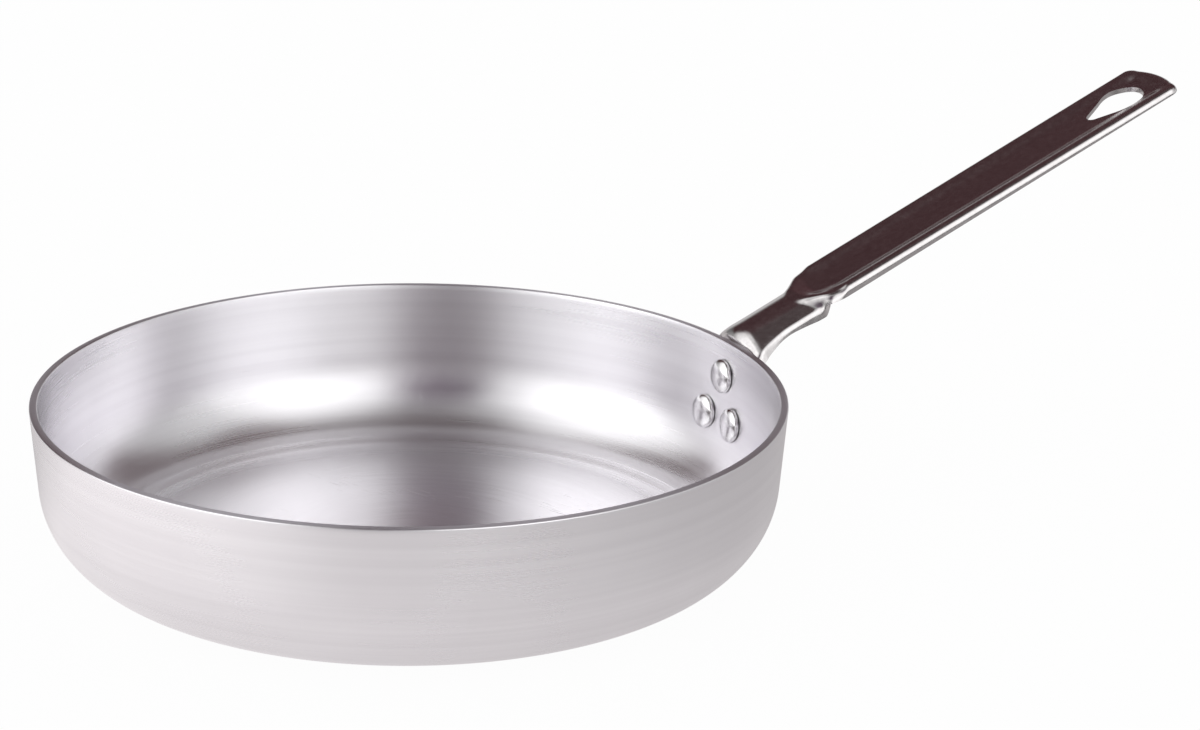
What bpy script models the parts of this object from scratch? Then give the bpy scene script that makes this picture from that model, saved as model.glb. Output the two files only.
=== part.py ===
"""Deep saute pan: a spun aluminium body, a pressed steel handle and three rivets.

Metres, +Z up.  The origin is the centre of the base, on the face that the pan
stands on.  The handle points along +X.
"""
import math

import bmesh
import bpy
from mathutils import Matrix, Vector

# pan body
RIM_RADIUS = 0.1400             # outer edge of the rim
PAN_HEIGHT = 0.0620             # base to rim
SHEET = 0.0030                  # thickness of the spun aluminium
WALL_LEAN = math.radians(4.7)   # the wall leans out by this much from upright
CORNER_RADIUS = 0.0337          # outside radius between wall and base
RIM_EASE = 0.0005               # broken edge of the cut rim
PAN_STEPS = 84
CORNER_STEPS = 7

# fits
CLEARANCE = 0.0003              # between pieces that touch
HOLE_CLEARANCE = 0.0003         # round a rivet's shank

# rivets
HEAD_RADIUS = 0.0066            # formed head inside the pan
HEAD_HEIGHT = 0.0030
HEAD_EDGE = 0.0006              # upright edge of a head
TAIL_RADIUS = 0.0056            # head on the handle's plate
TAIL_HEIGHT = 0.0026
SHANK_RADIUS = 0.0030
TOP_RIVET_DROP = 0.0141         # from the rim down the wall
LOW_RIVET_INSET = 0.0035        # up from the end of the plate's flat middle
LOW_RIVET_SPACING = 0.0205      # between the two low rivets
RIVET_STEPS = 20
DOME_STEPS = 4

# handle sheet
STEEL = 0.0018                  # thickness of the pressed steel
BEND_RADIUS = 0.0062            # outside of the bend over the rim
HANDLE_RISE = math.radians(22.2)
GRIP_START = 0.0277             # near end of the grip, from the wall
HANDLE_REACH = 0.1970           # tip of the handle, from the wall

# mounting plate
PLATE_HALF = 0.0122             # flat middle of the plate
PLATE_WING = 0.0073             # what stands out round it
PLATE_LENGTH = 0.0345           # from the rim to the end of the flat middle
PLATE_CORNER = 0.0060

# neck
NECK_ROOT_HALF = 0.0138         # arched top of the neck, at the rim
NECK_HALF = 0.0116              # and past the flare of the root
FLARE_LENGTH = 0.0200
NECK_SIDE = 0.0050              # rolled side, measured round it
NECK_WAIST = 0.0016             # the side is narrower by this half way along
NECK_ARCH_WALL = 0.0175         # radius at the crown of the arch, over the rim
NECK_ARCH_GRIP = 0.0185         # and at the grip
NECK_EDGE = 0.0028              # outside radius where top and side meet
NECK_FLARE = math.radians(82)   # slope of the side, 90 degrees being square

# grip
GRIP_HALF_NEAR = 0.0128         # half width between the crests, near end
GRIP_HALF_TIP = 0.0140          # half width between the crests, tip
GRIP_NOSE = 0.0130              # length of the rounded near end
NOSE_POWER = 2.2                # 2 is an ellipse, more is squarer
NOSE_BLEND = 0.0010             # softens the corner where neck and grip meet
GRIP_EDGE = 0.0025              # outside radius of the rolled edge
LIP_NEAR = 0.0056               # rolled edge, measured round it, near end
LIP_TIP = 0.0042
LIP_FLARE = math.radians(88)
DISH_DEPTH = 0.0016             # hollow of the grip's top
DISH_FLANK = 0.0075             # width of the slope round the hollow
RISER = 0.0040                  # length of the step up to the grip's corners
TIP_CORNER = 0.0035
TIP_BOW = 0.0015                # the end of the grip bows out by this much

# hanging hole
HOLE_INSET = 0.0155             # wide end's centre, from the tip
HOLE_RADIUS = 0.0090            # wide end
HOLE_POINT_RADIUS = 0.0030      # narrow end
HOLE_SPACING = 0.0130           # between the two centres
HOLE_DEPTH = 0.0400             # of the cutter, clear of the sheet both ways
HOLE_STEPS = 20

# how finely the sheet is drawn
WEB_COLUMNS = 10
ROLL_ROWS = 4
ROLL_SHARE = 0.8                # of the side, at most, in the rows of its roll
SIDE_ROWS = 2
CORNER_ROWS = 4
PLATE_STEP = 0.0030
FOLD_STEP = 0.0021
BEND_STEP = 0.0014
NECK_STEP = 0.0035
NOSE_STEP = 0.0030
GRIP_STEP = 0.0100
NOSE_LEAD = 0.0050              # rows start to follow the grip's near end this far ahead of it
SLOPE_REACH = 0.0006            # either way, where the slope of the outline is taken

# where the sheet leaves the wall, along the strip from the rim
WING_FLAT = -0.0235             # below this the wings lie on the wall
WING_FOLDED = -0.0055           # above this they stand out as the neck's sides
ARCH_START = -0.0084            # the top starts to arch here
FAN_START = -0.0160             # the sides turn from outward here
FAN_END = 0.0180                # to downward here

ALUMINIUM = ((0.80, 0.80, 0.81), 0.34)
POLISHED_STEEL = ((0.70, 0.69, 0.68), 0.12)
RIVET_ALUMINIUM = ((0.82, 0.82, 0.83), 0.22)

SIN_LEAN = math.sin(WALL_LEAN)
COS_LEAN = math.cos(WALL_LEAN)
WALL_LENGTH = (PAN_HEIGHT - CORNER_RADIUS * (1 - SIN_LEAN)) / COS_LEAN
CORNER_CENTRE = RIM_RADIUS - WALL_LENGTH * SIN_LEAN - CORNER_RADIUS * COS_LEAN


def clear_scene():
    for item in list(bpy.data.objects):
        bpy.data.objects.remove(item, do_unlink=True)


def metal(name, finish):
    colour, roughness = finish
    material = bpy.data.materials.new(name)
    material.use_nodes = True
    shader = material.node_tree.nodes["Principled BSDF"]
    shader.inputs["Base Color"].default_value = (*colour, 1.0)
    shader.inputs["Metallic"].default_value = 1.0
    shader.inputs["Roughness"].default_value = roughness
    return material


def new_object(name, mesh_data, material=None):
    item = bpy.data.objects.new(name, mesh_data)
    bpy.context.scene.collection.objects.link(item)
    if material is not None:
        mesh_data.materials.append(material)
    return item


def finish_mesh(name, mesh, sharp_from):
    bmesh.ops.recalc_face_normals(mesh, faces=mesh.faces)
    data = bpy.data.meshes.new(name)
    mesh.to_mesh(data)
    mesh.free()
    data.shade_smooth()
    data.set_sharp_from_angle(angle=math.radians(sharp_from))
    return data


# the wall that the pan, the plate and the rivets share

def wall_section(drop, offset):
    """Radius and height at a distance down the outside of the wall from the rim."""
    if drop <= WALL_LENGTH:
        lean = WALL_LEAN
        radius = RIM_RADIUS - drop * SIN_LEAN
        height = PAN_HEIGHT - drop * COS_LEAN
    else:
        lean = WALL_LEAN + (drop - WALL_LENGTH) / CORNER_RADIUS
        radius = CORNER_CENTRE + CORNER_RADIUS * math.cos(lean)
        height = CORNER_RADIUS * (1 - math.sin(lean))
    return radius + offset * math.cos(lean), height - offset * math.sin(lean)


def wall_point(drop, across, offset):
    """A point by the wall: down it, round it from +X, and out from it."""
    radius, height = wall_section(drop, offset)
    turn = across / RIM_RADIUS
    return Vector((radius * math.cos(turn), radius * math.sin(turn), height))


def wall_distance(point):
    """How far a point lies outside the wall's outer face."""
    radius = math.hypot(point.x, point.y)
    aside = radius - CORNER_CENTRE
    below = CORNER_RADIUS - point.z
    if math.atan2(below, aside) > WALL_LEAN:
        return math.hypot(aside, below) - CORNER_RADIUS
    return (radius - RIM_RADIUS) * COS_LEAN - (point.z - PAN_HEIGHT) * SIN_LEAN


# pan body

def pan_profile():
    """Half section of the pan: centre of the base, up the outside, down the inside."""
    outside = [(0.0, 0.0)]
    inside = []
    full_turn = math.pi / 2 - WALL_LEAN
    for step in range(CORNER_STEPS + 1):
        drop = WALL_LENGTH + CORNER_RADIUS * full_turn * (1 - step / CORNER_STEPS)
        outside.append(wall_section(drop, 0.0))
        inside.append(wall_section(drop, -SHEET))
    outside.append(wall_section(RIM_EASE, 0.0))
    for inward in (RIM_EASE, SHEET - RIM_EASE):
        outside.append((wall_section(0.0, -inward)[0], PAN_HEIGHT))
    inside.append(wall_section(RIM_EASE, -SHEET))
    inside.reverse()
    return outside + inside + [(0.0, SHEET)]


def turned_mesh(name, profile, steps, sharp_from):
    mesh = bmesh.new()
    points = [mesh.verts.new((radius, 0.0, height)) for radius, height in profile]
    edges = [mesh.edges.new(pair) for pair in zip(points, points[1:])]
    bmesh.ops.spin(mesh, geom=points + edges, cent=(0, 0, 0), axis=(0, 0, 1),
                   angle=math.tau, steps=steps, use_merge=True)
    bmesh.ops.remove_doubles(mesh, verts=mesh.verts, dist=0.00001)
    return finish_mesh(name, mesh, sharp_from)


def shank_cutter(name, centre, axis):
    """A round cutter for one rivet hole, long enough for wall and plate."""
    mesh = bmesh.new()
    bmesh.ops.create_cone(mesh, cap_ends=True, segments=RIVET_STEPS,
                          radius1=SHANK_RADIUS + HOLE_CLEARANCE,
                          radius2=SHANK_RADIUS + HOLE_CLEARANCE,
                          depth=4 * (SHEET + STEEL))
    cutter = new_object(name, finish_mesh(name, mesh, 30))
    cutter.rotation_mode = "QUATERNION"
    cutter.rotation_quaternion = axis.to_track_quat("Z", "Y")
    cutter.location = centre
    cutter.hide_render = True
    cutter.display_type = "WIRE"
    return cutter


def cut(item, cutters):
    for cutter in cutters:
        step = item.modifiers.new(cutter.name, "BOOLEAN")
        step.operation = "DIFFERENCE"
        step.solver = "EXACT"
        step.object = cutter


def pan_body(cutters):
    body = new_object("pan_body", turned_mesh("pan_body", pan_profile(), PAN_STEPS, 30),
                      metal("spun_aluminium", ALUMINIUM))
    cut(body, cutters)
    return body


# handle: one strip of sheet, measured along it from the rim, minus down the wall

BEND_LENGTH = BEND_RADIUS * (math.pi / 2 - WALL_LEAN - HANDLE_RISE)
BEND_REACH = BEND_RADIUS * (COS_LEAN - math.sin(HANDLE_RISE))
GRIP_RUN = BEND_LENGTH + GRIP_START - BEND_REACH
TIP_RUN = BEND_LENGTH + HANDLE_REACH - BEND_REACH


def smooth(t):
    t = min(max(t, 0.0), 1.0)
    return t * t * (3 - 2 * t)


def between(a, b, t):
    t = min(max(t, 0.0), 1.0)
    return a + (b - a) * t


def strip_path(run):
    """The middle of the sheet's top face: up the wall, over the rim, out to the tip."""
    if run <= 0:
        return wall_point(-run, 0.0, CLEARANCE)
    turned = min(run, BEND_LENGTH) / BEND_RADIUS
    slope = math.pi / 2 - WALL_LEAN
    out = BEND_RADIUS * (math.sin(slope) - math.sin(slope - turned))
    rise = BEND_RADIUS * (math.cos(slope - turned) - math.cos(slope))
    along = max(run - BEND_LENGTH, 0.0)
    rise += along * math.tan(HANDLE_RISE)
    return wall_point(0.0, 0.0, CLEARANCE) + Vector((out + along, 0.0, rise))


def under_side(run):
    """Direction from the top face towards the open side of the pressed channel."""
    turned = smooth((run - FAN_START) / (FAN_END - FAN_START))
    down = between(WALL_LEAN, math.pi / 2 - HANDLE_RISE, turned)
    return Vector((math.cos(down), 0.0, -math.sin(down)))


def grip_half(run):
    return between(GRIP_HALF_NEAR, GRIP_HALF_TIP, (run - GRIP_RUN) / (TIP_RUN - GRIP_RUN))


def half_width(run):
    """Half the width between the crests."""
    if run < 0:
        return between(PLATE_HALF, NECK_ROOT_HALF, smooth(1 - run / FAN_START))
    if run < GRIP_RUN:
        return between(NECK_ROOT_HALF, NECK_HALF, smooth(run / FLARE_LENGTH))
    short = max(1 - (run - GRIP_RUN) / GRIP_NOSE, 0.0)
    grip = grip_half(run) * (1 - short ** NOSE_POWER) ** (1 / NOSE_POWER)
    blend = NOSE_BLEND * smooth((run - GRIP_RUN) / GRIP_NOSE)
    return (NECK_HALF + grip + math.hypot(NECK_HALF - grip, blend)) / 2


def past_nose(run, across):
    """Distance along the strip past the crest of the grip's rounded near end."""
    share = min(abs(across) / grip_half(run), 1.0)
    return run - GRIP_RUN - GRIP_NOSE * (1 - (1 - share ** NOSE_POWER) ** (1 / NOSE_POWER))


def arch(run):
    """Curvature across the top; on the plate it is the wall's own."""
    over_rim = smooth((run - ARCH_START) / (BEND_LENGTH - ARCH_START))
    neck = between(1 / NECK_ARCH_WALL, 1 / NECK_ARCH_GRIP, run / GRIP_RUN)
    return between(-1 / RIM_RADIUS, neck, over_rim)


def grip_share(level):
    """0 on the neck, 1 on the grip, with the pressed step between them."""
    return smooth((level - GRIP_RUN) / RISER + 1)


def top_drop(run, across, level):
    """How far the top face lies below the strip's middle line, on the row that starts at level."""
    neck = arch(run) * across * across / 2
    dish = DISH_DEPTH
    for inset in (half_width(run) - abs(across), level - GRIP_RUN, TIP_RUN - run):
        dish *= smooth(inset / DISH_FLANK)
    return between(neck, dish, grip_share(level))


def sheet_point(run, across, drop):
    """A point on the top face, or below it by drop towards the open side."""
    down = under_side(run)
    free = strip_path(run) + Vector((0.0, across, 0.0)) + down * drop
    if run >= 0:
        return free
    fan = math.asin(-down.z) - WALL_LEAN
    out = drop + min(abs(across), half_width(run)) ** 2 / RIM_RADIUS / 2
    on_wall = wall_point(-run + out * math.sin(fan), across, CLEARANCE + out * math.cos(fan))
    return on_wall.lerp(free, smooth(1 - run / FAN_START))


def side_slopes(run, across, level):
    """Slope of the top at its edge, and slope of the side that it rolls into."""
    on_grip = grip_share(level)
    start = between(math.atan(arch(run) * abs(across)), 0.0, on_grip)
    end = between(NECK_FLARE, LIP_FLARE, on_grip)
    folded = smooth((run - WING_FLAT) / (WING_FOLDED - WING_FLAT))
    return start * folded, end * folded


def side_length(run):
    """Length of the rolled side, measured round it."""
    if run < 0:
        return between(PLATE_WING, NECK_SIDE, smooth(1 - run / WING_FLAT))
    if run < GRIP_RUN:
        return NECK_SIDE - NECK_WAIST * math.sin(math.pi * run / GRIP_RUN)
    lip = between(LIP_NEAR, LIP_TIP, (run - GRIP_RUN) / (TIP_RUN - GRIP_RUN))
    return between(NECK_SIDE, lip, smooth((run - GRIP_RUN) / GRIP_NOSE))


def edge_radius(run):
    return between(NECK_EDGE, GRIP_EDGE, smooth((run - GRIP_RUN) / GRIP_NOSE))


def rolled(run, across, level, length):
    """Out and down from the top's edge, at a length round the rolled side."""
    start, end = side_slopes(run, across, level)
    radius = edge_radius(run)
    turned = min(length / radius, end - start)
    out = radius * (math.sin(start + turned) - math.sin(start))
    down = radius * (math.cos(start) - math.cos(start + turned))
    straight = max(length - radius * (end - start), 0.0)
    return out + straight * math.cos(end), down + straight * math.sin(end)


def side_lengths(run):
    """Where the rows of the rolled side lie, measured round it."""
    total = side_length(run)
    roll = min(edge_radius(run) * math.pi / 2, total * ROLL_SHARE)
    rows = [roll * row / ROLL_ROWS for row in range(1, ROLL_ROWS + 1)]
    return rows + [between(roll, total, row / SIDE_ROWS) for row in range(1, SIDE_ROWS + 1)]


def even_steps(start, end, step):
    count = max(round((end - start) / step), 1)
    return [start + (end - start) * item / count for item in range(count)]


def corner_rows(end, inward, half, radius, bow):
    """Rows of the top through a pair of rounded corners, side to end, the last one bowed.

    Each row is a list of its points' run, place across and level, with the way out at its ends.
    """
    rows = []
    for step in range(CORNER_ROWS + 1):
        turn = math.pi / 2 * step / CORNER_ROWS
        run = end + inward * (radius - (radius - bow) * math.sin(turn))
        width = half - radius * (1 - math.cos(turn))
        bowed = inward * bow if step == CORNER_ROWS else 0.0
        row = []
        for column in range(WEB_COLUMNS + 1):
            share = 2 * column / WEB_COLUMNS - 1
            row.append((run - bowed * (1 - share * share), width * share, run))
        rows.append((row, -inward * math.sin(turn), math.cos(turn)))
    return rows


def way_out(run):
    """Square to the top's edge: along the strip, and aside."""
    widening = (half_width(run + SLOPE_REACH) - half_width(run - SLOPE_REACH)) / (2 * SLOPE_REACH)
    length = math.hypot(widening, 1.0)
    return -widening / length, 1 / length


def nose_lag(share):
    """How the grip's rounded near end falls behind, from 0 in the middle to 1 at the neck's edge."""
    at_edge = past_nose(GRIP_RUN, NECK_HALF)
    return past_nose(GRIP_RUN, share * NECK_HALF) / at_edge


def row_places():
    """Where each row of the top face crosses the middle and the edge, plate end first.

    The rows are straight except round the grip's near end, which they follow.
    """
    lag = -past_nose(GRIP_RUN, NECK_HALF)
    stages = [(PLATE_CORNER - PLATE_LENGTH, 0.0, PLATE_STEP), (WING_FLAT, 0.0, FOLD_STEP),
              (0.0, 0.0, BEND_STEP), (BEND_LENGTH, 0.0, NECK_STEP),
              (GRIP_RUN - RISER - NOSE_LEAD, 0.0, NOSE_STEP), (GRIP_RUN - RISER, lag, NOSE_STEP),
              (GRIP_RUN, lag, NOSE_STEP), (GRIP_RUN + GRIP_NOSE + NOSE_LEAD, 0.0, GRIP_STEP),
              (TIP_RUN - TIP_CORNER, 0.0, GRIP_STEP)]
    places = []
    for (start, lag_start, step), (end, lag_end, unused) in zip(stages, stages[1:]):
        for middle in even_steps(start, end, step):
            share = (middle - start) / (end - start)
            places.append((middle, middle + between(lag_start, lag_end, share)))
    return places


def top_rows():
    """Rows of the top face, plate end first."""
    plate_end = corner_rows(-PLATE_LENGTH, 1, PLATE_HALF, PLATE_CORNER, 0.0)
    tip = corner_rows(TIP_RUN, -1, half_width(TIP_RUN), TIP_CORNER, TIP_BOW)
    between_ends = []
    for middle, edge in row_places()[1:]:
        half = half_width(edge)
        row = []
        for column in range(WEB_COLUMNS + 1):
            share = 2 * column / WEB_COLUMNS - 1
            row.append((between(middle, edge, nose_lag(share)), half * share, middle))
        along, aside = way_out(edge)
        between_ends.append((row, along, aside))
    return plate_end[::-1] + between_ends + tip


def top_outline(rows):
    """Each point round the top face's edge with its way out, in order."""
    outline = []
    row, along, aside = rows[0]
    outline += [(*place, -1.0, 0.0) for place in row]
    outline += [(*row[-1], along, aside) for row, along, aside in rows[1:]]
    row, along, aside = rows[-1]
    outline += [(*place, 1.0, 0.0) for place in row[-2::-1]]
    outline += [(*row[0], along, -aside) for row, along, aside in rows[-2:0:-1]]
    return outline


def handle_sheet():
    """The outside of the pressed sheet: its top face with the sides rolled down."""
    mesh = bmesh.new()
    rows = top_rows()
    grid = [[mesh.verts.new(sheet_point(run, across, top_drop(run, across, level)))
             for run, across, level in row] for row, along, aside in rows]
    for near, far in zip(grid, grid[1:]):
        for column in range(WEB_COLUMNS):
            mesh.faces.new((near[column], near[column + 1], far[column + 1], far[column]))
    inner = grid[0] + [row[-1] for row in grid[1:]]
    inner += grid[-1][-2::-1] + [row[0] for row in grid[-2:0:-1]]
    places = top_outline(rows)
    for step in range(ROLL_ROWS + SIDE_ROWS):
        outer = []
        for run, across, level, along, aside in places:
            out, down = rolled(run, across, level, side_lengths(run)[step])
            place = sheet_point(run + along * out, across + aside * out,
                                top_drop(run, across, level) + down)
            outer.append(mesh.verts.new(place))
        for item in range(len(outer)):
            after = (item + 1) % len(outer)
            mesh.faces.new((inner[item], outer[item], outer[after], inner[after]))
        inner = outer
    return finish_mesh("handle", mesh, 40)


def hole_outline():
    """The hanging hole seen from above: a large and a small circle joined."""
    wide = RIM_RADIUS + HANDLE_REACH - HOLE_INSET
    narrow = wide - HOLE_SPACING
    lean = math.acos((HOLE_RADIUS - HOLE_POINT_RADIUS) / HOLE_SPACING)
    points = []
    for step in range(HOLE_STEPS + 1):
        turn = between(lean - math.pi, math.pi - lean, step / HOLE_STEPS)
        points.append((wide + HOLE_RADIUS * math.cos(turn), HOLE_RADIUS * math.sin(turn)))
    for step in range(HOLE_STEPS // 2 + 1):
        turn = between(math.pi - lean, math.pi + lean, 2 * step / HOLE_STEPS)
        points.append((narrow + HOLE_POINT_RADIUS * math.cos(turn),
                       HOLE_POINT_RADIUS * math.sin(turn)))
    return points


def hole_cutter():
    mesh = bmesh.new()
    bottom = strip_path(TIP_RUN - HOLE_INSET).z - HOLE_DEPTH / 2
    floor = mesh.faces.new([mesh.verts.new((x, y, bottom)) for x, y in hole_outline()])
    grown = bmesh.ops.extrude_face_region(mesh, geom=[floor])
    top = [item for item in grown["geom"] if isinstance(item, bmesh.types.BMVert)]
    bmesh.ops.translate(mesh, verts=top, vec=(0, 0, HOLE_DEPTH))
    cutter = new_object("hole_cutter", finish_mesh("hole_cutter", mesh, 30))
    cutter.hide_render = True
    cutter.display_type = "WIRE"
    return cutter


def handle(cutters):
    piece = new_object("handle", handle_sheet(), metal("polished_steel", POLISHED_STEEL))
    thick = piece.modifiers.new("sheet", "SOLIDIFY")
    thick.thickness = STEEL
    thick.offset = -1.0
    cut(piece, cutters + [hole_cutter()])
    return piece


# rivets

def rivet_places():
    """Name, distance below the rim and place across of each rivet."""
    low_drop = PLATE_LENGTH - LOW_RIVET_INSET
    return [("rivet_top", TOP_RIVET_DROP, 0.0),
            ("rivet_low_left", low_drop, LOW_RIVET_SPACING / 2),
            ("rivet_low_right", low_drop, -LOW_RIVET_SPACING / 2)]


def rivet_frame(drop, across):
    """Centre of a rivet on the wall's outer face, and its axis, outward."""
    centre = wall_point(drop, across, 0.0)
    axis = (wall_point(drop, across, SHEET) - centre).normalized()
    return centre, axis


def seated(centre, axis, aside, level):
    """The point over aside, along the axis, that lies at a level from the wall's outer face."""
    point = centre + aside + axis * level
    for refinement in range(4):
        point += axis * (level - wall_distance(point))
    return point


def rivet_profile():
    """Radius, level and height off that level, from the inner dome to the outer one."""
    inner = -SHEET - CLEARANCE
    outer = 2 * CLEARANCE + STEEL
    rings = []
    for step in range(1, DOME_STEPS + 1):
        turn = math.pi / 2 * step / DOME_STEPS
        rise = (HEAD_HEIGHT - HEAD_EDGE) * math.cos(turn)
        rings.append((HEAD_RADIUS * math.sin(turn), inner, -HEAD_EDGE - rise))
    rings += [(HEAD_RADIUS, inner, 0.0), (SHANK_RADIUS, inner, 0.0)]
    rings += [(SHANK_RADIUS, outer, 0.0), (TAIL_RADIUS, outer, 0.0)]
    for step in range(DOME_STEPS, 0, -1):
        turn = math.pi / 2 * step / DOME_STEPS
        rise = (TAIL_HEIGHT - HEAD_EDGE) * math.cos(turn)
        rings.append((TAIL_RADIUS * math.sin(turn), outer, HEAD_EDGE + rise))
    return rings


def rivet(name, drop, across):
    centre, axis = rivet_frame(drop, across)
    first = axis.orthogonal().normalized()
    second = axis.cross(first)
    mesh = bmesh.new()
    rings = []
    for radius, level, height in rivet_profile():
        ring = []
        for step in range(RIVET_STEPS):
            turn = math.tau * step / RIVET_STEPS
            aside = (first * math.cos(turn) + second * math.sin(turn)) * radius
            ring.append(mesh.verts.new(seated(centre, axis, aside, level) + axis * height))
        rings.append(ring)
    for near, far in zip(rings, rings[1:]):
        for step in range(RIVET_STEPS):
            after = (step + 1) % RIVET_STEPS
            mesh.faces.new((near[step], near[after], far[after], far[step]))
    for ring, level, height in ((rings[0], -SHEET - CLEARANCE, -HEAD_HEIGHT),
                                (rings[-1], 2 * CLEARANCE + STEEL, TAIL_HEIGHT)):
        tip = mesh.verts.new(seated(centre, axis, Vector(), level) + axis * height)
        for step in range(RIVET_STEPS):
            mesh.faces.new((ring[step], ring[(step + 1) % RIVET_STEPS], tip))
    data = finish_mesh(name, mesh, 40)
    data.transform(Matrix.Translation(-centre))
    piece = new_object(name, data, metal(name + "_aluminium", RIVET_ALUMINIUM))
    piece.location = centre
    return piece


def build():
    clear_scene()
    cutters = []
    for name, drop, across in rivet_places():
        cutters.append(shank_cutter(name + "_hole", *rivet_frame(drop, across)))
    pan_body(cutters)
    handle(cutters)
    for place in rivet_places():
        rivet(*place)


build()
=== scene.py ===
"""Deep saute pan: bare spun aluminium, a polished pressed handle and three rivets."""
import math

import bmesh
import bpy
from mathutils import Matrix, Vector


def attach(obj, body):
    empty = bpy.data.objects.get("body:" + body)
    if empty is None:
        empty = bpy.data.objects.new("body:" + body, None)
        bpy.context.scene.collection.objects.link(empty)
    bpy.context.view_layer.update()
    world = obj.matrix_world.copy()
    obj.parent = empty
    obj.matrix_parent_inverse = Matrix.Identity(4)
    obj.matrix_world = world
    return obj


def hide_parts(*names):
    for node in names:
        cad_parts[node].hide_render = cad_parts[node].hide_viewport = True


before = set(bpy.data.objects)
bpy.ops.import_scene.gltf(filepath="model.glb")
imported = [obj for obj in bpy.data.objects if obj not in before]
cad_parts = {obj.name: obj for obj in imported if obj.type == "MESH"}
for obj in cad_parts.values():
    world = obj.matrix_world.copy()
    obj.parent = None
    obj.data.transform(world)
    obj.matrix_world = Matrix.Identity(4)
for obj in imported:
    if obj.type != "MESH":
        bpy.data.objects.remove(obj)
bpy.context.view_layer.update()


# The pan.  A round of aluminium sheet is spun over a form to a flat base, a wide
# rounded corner and a nearly upright wall, and its rim is cut square on the lathe.
# The metal is left bare, with the fine lines of the lathe running round it.

RIM_RADIUS = 0.1400
PAN_HEIGHT = 0.0620
SHEET = 0.0030
WALL_LEAN = math.radians(4.7)
CORNER_RADIUS = 0.0337
RIM_EASE = 0.0005
RING_FROM = 0.1085
RING_TOP = 0.1137
RING_TO = 0.1200
RING_HEIGHT = 0.0005
BASE_RINGS = (0.0, 0.030, 0.060, 0.085)
WALL_RINGS = (0.75, 0.5, 0.25, 0.08)
CORNER_STEPS = 42
RIM_TURNS = (0, 30, 60, 90)
PAN_STEPS = 240
PAN_SHARP_FROM = 35
MERGE_DISTANCE = 0.000005
SIN_LEAN = math.sin(WALL_LEAN)
COS_LEAN = math.cos(WALL_LEAN)
WALL_LENGTH = (PAN_HEIGHT - CORNER_RADIUS * (1 - SIN_LEAN)) / COS_LEAN
RIM_DROP = SHEET * SIN_LEAN / COS_LEAN
CORNER_CENTRE = RIM_RADIUS - WALL_LENGTH * SIN_LEAN - CORNER_RADIUS * COS_LEAN


def wall_section(drop, offset):
    """Radius and height at a distance down the outside of the pan from its rim."""
    if drop <= WALL_LENGTH:
        lean = WALL_LEAN
        radius = RIM_RADIUS - drop * SIN_LEAN
        height = PAN_HEIGHT - drop * COS_LEAN
    else:
        lean = WALL_LEAN + (drop - WALL_LENGTH) / CORNER_RADIUS
        radius = CORNER_CENTRE + CORNER_RADIUS * math.cos(lean)
        height = CORNER_RADIUS * (1 - math.sin(lean))
    return radius + offset * math.cos(lean), height - offset * math.sin(lean)


def wall_point(drop, across, offset):
    """The same place in space, at a distance across measured round the rim."""
    radius, height = wall_section(drop, offset)
    turn = across / RIM_RADIUS
    return Vector((radius * math.cos(turn), radius * math.sin(turn), height))


def wall_distance(point):
    """How far a point lies outside the wall's outer face."""
    radius = math.hypot(point.x, point.y)
    aside = radius - CORNER_CENTRE
    below = CORNER_RADIUS - point.z
    if math.atan2(below, aside) > WALL_LEAN:
        return math.hypot(aside, below) - CORNER_RADIUS
    return (radius - RIM_RADIUS) * COS_LEAN - (point.z - PAN_HEIGHT) * SIN_LEAN


def inside_point(drop):
    """The inner face, with the low ring that the form's edge leaves in the corner."""
    radius = wall_section(drop, -SHEET)[0]
    share = min((radius - RING_FROM) / (RING_TOP - RING_FROM),
                (RING_TO - radius) / (RING_TO - RING_TOP))
    share = min(max(share, 0.0), 1.0)
    return wall_section(drop, -SHEET - RING_HEIGHT * share * share * (3 - 2 * share))


def pan_section():
    """Half section, from the centre of the base round the outside to the inside."""
    corner_length = CORNER_RADIUS * (math.pi / 2 - WALL_LEAN)
    drops = [WALL_LENGTH + corner_length * step / CORNER_STEPS
             for step in range(CORNER_STEPS, -1, -1)]
    drops += [WALL_LENGTH * share for share in WALL_RINGS]
    section = [(radius, 0.0) for radius in BASE_RINGS]
    section += [wall_section(drop, 0.0) for drop in drops]
    for turn in RIM_TURNS:
        angle = math.radians(turn)
        drop = RIM_DROP + RIM_EASE * (1 - math.sin(angle))
        section.append(wall_section(drop, -RIM_EASE * (1 - math.cos(angle))))
    for turn in reversed(RIM_TURNS):
        angle = math.radians(turn)
        drop = RIM_DROP + RIM_EASE * (1 - math.sin(angle))
        section.append(wall_section(drop, RIM_EASE * (1 - math.cos(angle)) - SHEET))
    section += [inside_point(drop) for drop in reversed(drops)]
    section += [(radius, SHEET) for radius in reversed(BASE_RINGS)]
    return section


def smooth_piece(name, mesh, sharp_from):
    """A piece at the origin of the frame, from finished mesh data."""
    bmesh.ops.remove_doubles(mesh, verts=mesh.verts, dist=MERGE_DISTANCE)
    bmesh.ops.recalc_face_normals(mesh, faces=mesh.faces)
    data = bpy.data.meshes.new(name)
    mesh.to_mesh(data)
    mesh.free()
    data.shade_smooth()
    data.set_sharp_from_angle(angle=math.radians(sharp_from))
    piece = bpy.data.objects.new(name, data)
    bpy.context.scene.collection.objects.link(piece)
    return piece


def spun_pan():
    """The half section turned once round, as the sheet turns on the lathe."""
    mesh = bmesh.new()
    points = [mesh.verts.new((radius, 0.0, height)) for radius, height in pan_section()]
    edges = [mesh.edges.new(pair) for pair in zip(points, points[1:])]
    bmesh.ops.spin(mesh, geom=points + edges, cent=(0, 0, 0), axis=(0, 0, 1),
                   angle=math.tau, steps=PAN_STEPS, use_merge=True)
    return smooth_piece("spun_pan", mesh, PAN_SHARP_FROM)


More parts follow.
